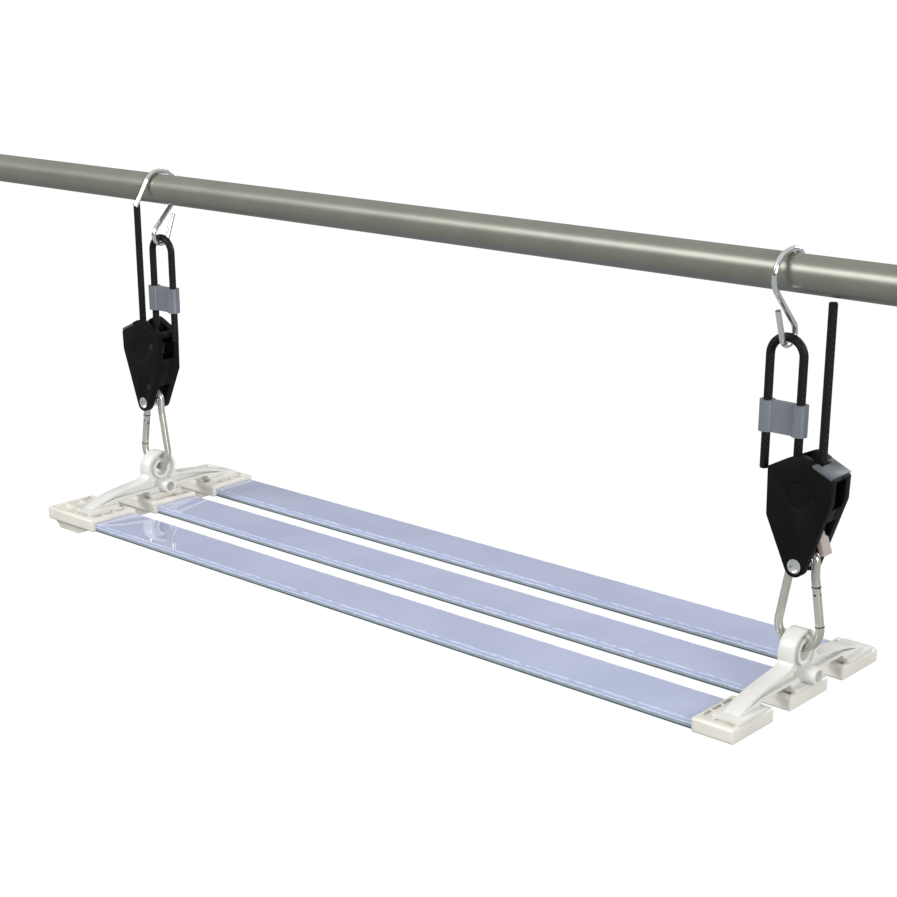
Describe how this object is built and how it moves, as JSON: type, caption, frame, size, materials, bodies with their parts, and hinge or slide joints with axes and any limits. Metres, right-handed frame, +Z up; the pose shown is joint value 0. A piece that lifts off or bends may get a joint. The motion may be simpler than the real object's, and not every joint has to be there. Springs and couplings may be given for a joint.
{
  "type": "ceiling mounted pulley rack",
  "caption": "Hanging rack of flat light bars in white end brackets, carried by rope ratchets, carabiners and wire S-hooks from a round ceiling rail",
  "frame": {"origin": "middle of the ceiling rail's axis, halfway between the two hangers", "axes": "+X along the rail, +Z up, -Y towards the viewer's side"},
  "size_m": [1.15, 0.1914, 0.3171],
  "materials": {
    "rail_metal": "satin",
    "hook_steel": "polished",
    "rope": "braided",
    "sleeve_aluminium": "satin, ribbed",
    "housing_black": "fine texture",
    "dark_steel": "blackened",
    "guide_grey": "matt",
    "sheave_steel": "turned",
    "lever_beige": "semi-gloss",
    "bright_steel": "polished",
    "zinc_steel": "zinc plated",
    "bracket_white": "smooth",
    "cap_plastic": "smooth",
    "bar_glass": "glossy",
    "bar_lens": "satin",
    "bar_metal": "satin"
  },
  "bodies": {
    "rail": {"ceiling_rail": "rail_metal"},
    "hook_left": {"s_hook_left": "hook_steel"},
    "sling_left": {"rope_sling_left": "rope", "crimp_sleeve_left": "sleeve_aluminium", "rope_run_left": "rope"},
    "housing_left": {"shell_front_left": "housing_black", "shell_back_left": "housing_black", "rope_guide_left": "guide_grey", "shell_screws_left": "dark_steel", "axle_left": "housing_black", "lever_pin_left": "bright_steel", "lever_spring_left": "bright_steel", "eyelet_left": "bright_steel", "rope_wrap_left": "rope", "rope_tail_left": "rope"},
    "sheave_left": {"sheave_left": "sheave_steel"},
    "lever_left": {"release_lever_left": "lever_beige"},
    "carabiner_left": {"carabiner_left": "zinc_steel", "gate_pin_left": "dark_steel"},
    "gate_left": {"gate_left": "zinc_steel"},
    "hook_right": {"s_hook_right": "hook_steel"},
    "sling_right": {"rope_sling_right": "rope", "crimp_sleeve_right": "sleeve_aluminium", "rope_run_right": "rope"},
    "housing_right": {"shell_front_right": "housing_black", "shell_back_right": "housing_black", "rope_guide_right": "guide_grey", "shell_screws_right": "dark_steel", "axle_right": "housing_black", "lever_pin_right": "bright_steel", "lever_spring_right": "bright_steel", "eyelet_right": "bright_steel", "rope_wrap_right": "rope", "rope_tail_right": "rope"},
    "sheave_right": {"sheave_right": "sheave_steel"},
    "lever_right": {"release_lever_right": "lever_beige"},
    "carabiner_right": {"carabiner_right": "zinc_steel", "gate_pin_right": "dark_steel"},
    "gate_right": {"gate_right": "zinc_steel"},
    "rack": {"bracket_left": "bracket_white", "bracket_right": "bracket_white", "cap_left_front": "cap_plastic", "cap_left_middle": "cap_plastic", "cap_left_rear": "cap_plastic", "cap_right_front": "cap_plastic", "cap_right_middle": "cap_plastic", "cap_right_rear": "cap_plastic", "bar_face_front": "bar_glass", "bar_face_middle": "bar_glass", "bar_face_rear": "bar_glass", "bar_lens_front": "bar_lens", "bar_lens_middle": "bar_lens", "bar_lens_rear": "bar_lens", "bar_base_front": "bar_metal", "bar_base_middle": "bar_metal", "bar_base_rear": "bar_metal"}
  },
  "joints": [
    {"name": "hook_swing_left", "type": "hinge", "parent": "rail", "child": "hook_left", "pos_m": [-0.31605, 0, 0], "axis": [1, 0, 0], "range_deg": [-6, 6]},
    {"name": "sling_sway_left", "type": "hinge", "parent": "hook_left", "child": "sling_left", "pos_m": [-0.31605, 0, -0.04803], "axis": [0, 1, 0], "range_deg": [-4, 4]},
    {"name": "lift_left", "type": "slide", "parent": "sling_left", "child": "housing_left", "axis": [0, 0, 1], "range_m": [-0.08, 0], "deforming": ["rope_run_left"]},
    {"name": "sheave_turn_left", "type": "hinge", "parent": "housing_left", "child": "sheave_left", "pos_m": [-0.338, 0, -0.14328], "axis": [0, 1, 0], "range_deg": [-495, 5]},
    {"name": "lever_pull_left", "type": "hinge", "parent": "housing_left", "child": "lever_left", "pos_m": [-0.345, 0, -0.16378], "axis": [0, 1, 0], "range_deg": [0, 18], "stiffness_Nm_per_rad": 0.02, "springref_deg": -17.19},
    {"name": "carabiner_swing_left", "type": "hinge", "parent": "housing_left", "child": "carabiner_left", "pos_m": [-0.338, 0, -0.19328], "axis": [0, 1, 0], "range_deg": [-4, 4]},
    {"name": "gate_open_left", "type": "hinge", "parent": "carabiner_left", "child": "gate_left", "pos_m": [-0.34996, 0, -0.21364], "axis": [0, 1, 0], "range_deg": [-20, 0], "stiffness_Nm_per_rad": 0.03, "springref_deg": 17.19},
    {"name": "hook_swing_right", "type": "hinge", "parent": "rail", "child": "hook_right", "pos_m": [0.31605, 0, 0], "axis": [1, 0, 0], "range_deg": [-6, 6]},
    {"name": "sling_sway_right", "type": "hinge", "parent": "hook_right", "child": "sling_right", "pos_m": [0.31605, 0, -0.04803], "axis": [0, 1, 0], "range_deg": [-4, 4]},
    {"name": "lift_right", "type": "slide", "parent": "sling_right", "child": "housing_right", "axis": [0, 0, 1], "range_m": [-0.08, 0], "deforming": ["rope_run_right"]},
    {"name": "sheave_turn_right", "type": "hinge", "parent": "housing_right", "child": "sheave_right", "pos_m": [0.338, 0, -0.14328], "axis": [0, 1, 0], "range_deg": [-5, 495]},
    {"name": "lever_pull_right", "type": "hinge", "parent": "housing_right", "child": "lever_right", "pos_m": [0.345, 0, -0.16378], "axis": [0, 1, 0], "range_deg": [-18, 0], "stiffness_Nm_per_rad": 0.02, "springref_deg": 17.19},
    {"name": "carabiner_swing_right", "type": "hinge", "parent": "housing_right", "child": "carabiner_right", "pos_m": [0.338, 0, -0.19328], "axis": [0, 1, 0], "range_deg": [-4, 4]},
    {"name": "gate_open_right", "type": "hinge", "parent": "carabiner_right", "child": "gate_right", "pos_m": [0.34996, 0, -0.21364], "axis": [0, 1, 0], "range_deg": [0, 20], "stiffness_Nm_per_rad": 0.03, "springref_deg": -17.19},
    {"name": "rack_tilt", "type": "hinge", "parent": "carabiner_left", "child": "rack", "pos_m": [-0.338, 0, -0.25373], "axis": [1, 0, 0], "range_deg": [-8, 8]}
  ],
  "couplings": [
    {"joint": "hook_swing_right", "follows": "hook_swing_left", "ratio": 1},
    {"joint": "sling_sway_right", "follows": "sling_sway_left", "ratio": 1},
    {"joint": "carabiner_swing_left", "follows": "sling_sway_left", "ratio": -0.9351},
    {"joint": "carabiner_swing_right", "follows": "sling_sway_left", "ratio": -0.9351},
    {"joint": "lift_right", "follows": "lift_left", "ratio": 1},
    {"joint": "sheave_turn_left", "follows": "lift_left", "rad_per_m": 106.95},
    {"joint": "sheave_turn_right", "follows": "lift_left", "rad_per_m": -106.95}
  ]
}
